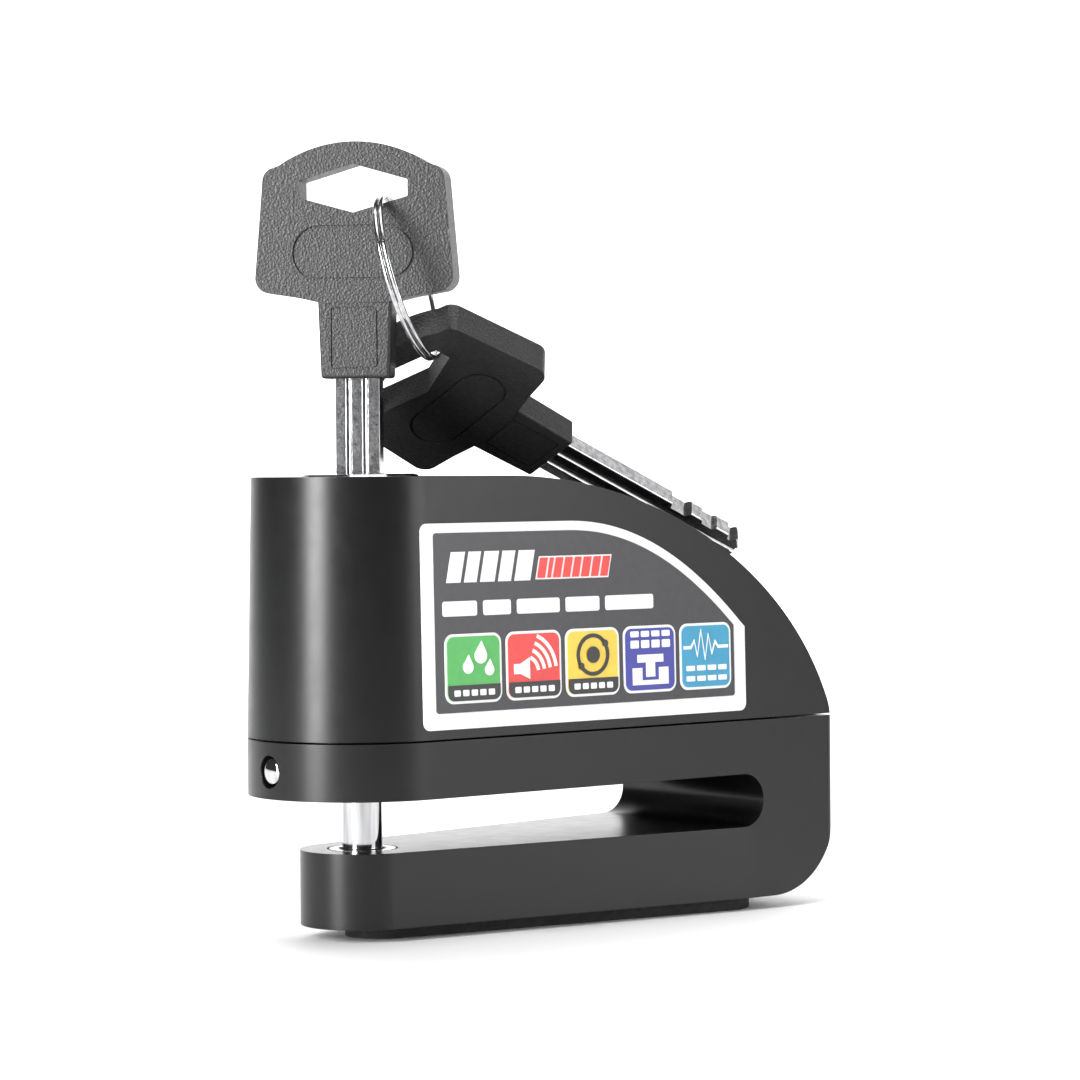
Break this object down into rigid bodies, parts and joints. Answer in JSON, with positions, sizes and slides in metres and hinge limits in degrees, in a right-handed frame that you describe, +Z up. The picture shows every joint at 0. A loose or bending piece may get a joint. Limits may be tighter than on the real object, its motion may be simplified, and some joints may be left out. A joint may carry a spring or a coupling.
{
  "type": "disc brake lock",
  "caption": "Push-down brake disc lock with alarm: slotted black body, sprung locking pin, keyed cylinder, key in place and spare key on a split ring.",
  "frame": {"origin": "under the locking pin's axis, on the underside of the foot pad", "axes": "+Z up along the locking pin, +X to the rear of the body, Y across it with the label on the -Y side"},
  "size_m": [0.0982, 0.0339, 0.118],
  "materials": {
    "black_paint": "satin black powder coat over die-cast zinc",
    "chrome": "bright nickel and chrome plate",
    "steel": "bare steel",
    "brass": "brass",
    "key_plastic": "fine grained black",
    "rubber": "matt black",
    "label": "printed film",
    "board": "green circuit board",
    "holder": "moulded dark plastic",
    "red_wire": "red sleeve",
    "black_wire": "black sleeve"
  },
  "bodies": {
    "housing": {"lower_body": "black_paint", "upper_cover": "black_paint", "cover_gasket": "rubber", "base_pad": "rubber", "label_plate": "label", "guide_bush": "steel", "jaw_bush": "steel", "retaining_pin": "chrome", "cover_screw_1": "steel", "cover_screw_2": "steel", "cover_screw_3": "steel", "cover_screw_4": "steel", "circuit_board": "board", "siren_housing": "holder", "siren_disc": "brass", "battery_holder": "holder", "battery_cell_1": "steel", "battery_cell_2": "steel", "battery_cell_3": "steel", "contact_plate": "brass", "battery_spring": "steel", "movement_sensor": "chrome", "switch_body": "holder", "wire_red": "red_wire", "wire_black": "black_wire", "plunger_spring": "steel"},
    "plunger": {"lock_cylinder": "chrome", "locking_pin": "chrome", "cross_pin": "steel", "cylinder_seal": "rubber"},
    "core": {"lock_core": "steel", "side_bar": "steel", "core_tail": "steel", "detainer_disc_1": "brass", "detainer_disc_2": "brass", "detainer_disc_3": "brass", "detainer_disc_4": "brass", "detainer_disc_5": "brass", "detainer_disc_6": "brass"},
    "latch": {"latch_bolt": "steel", "latch_spring": "steel"},
    "switch": {"switch_button": "rubber"},
    "key": {"key_blade": "chrome", "key_bow": "key_plastic"},
    "ring": {"split_ring": "chrome"},
    "spare_key": {"spare_key_blade": "chrome", "spare_key_bow": "key_plastic"}
  },
  "joints": [
    {"name": "plunger_slide", "type": "slide", "parent": "housing", "child": "plunger", "axis": [0, 0, 1], "range_m": [0, 0.0125], "deforming": ["plunger_spring"]},
    {"name": "core_turn", "type": "hinge", "parent": "plunger", "child": "core", "pos_m": [0, 0, 0.0456], "axis": [0, 0, 1], "range_deg": [-90, 0]},
    {"name": "latch_slide", "type": "slide", "parent": "plunger", "child": "latch", "axis": [-1, 0, 0], "range_m": [0, 0.002]},
    {"name": "switch_slide", "type": "slide", "parent": "housing", "child": "switch", "axis": [0, 0, 1], "range_m": [0, 0.001]},
    {"name": "key_slide", "type": "slide", "parent": "core", "child": "key", "axis": [0, 0, 1], "range_m": [0, 0.026]},
    {"name": "ring_swing", "type": "hinge", "parent": "key", "child": "ring", "pos_m": [0.00321, -0.00265, 0.11005], "axis": [0.6481, -0.7615, 0], "range_deg": [0, 2]},
    {"name": "spare_swing", "type": "hinge", "parent": "ring", "child": "spare_key", "pos_m": [0.00835, -0.00691, 0.08595], "axis": [0, 1, 0], "range_deg": [-3, 0]}
  ],
  "couplings": [
    {"joint": "latch_slide", "follows": "core_turn", "m_per_rad": -0.0012732},
    {"joint": "switch_slide", "follows": "plunger_slide", "ratio": 0.08}
  ]
}
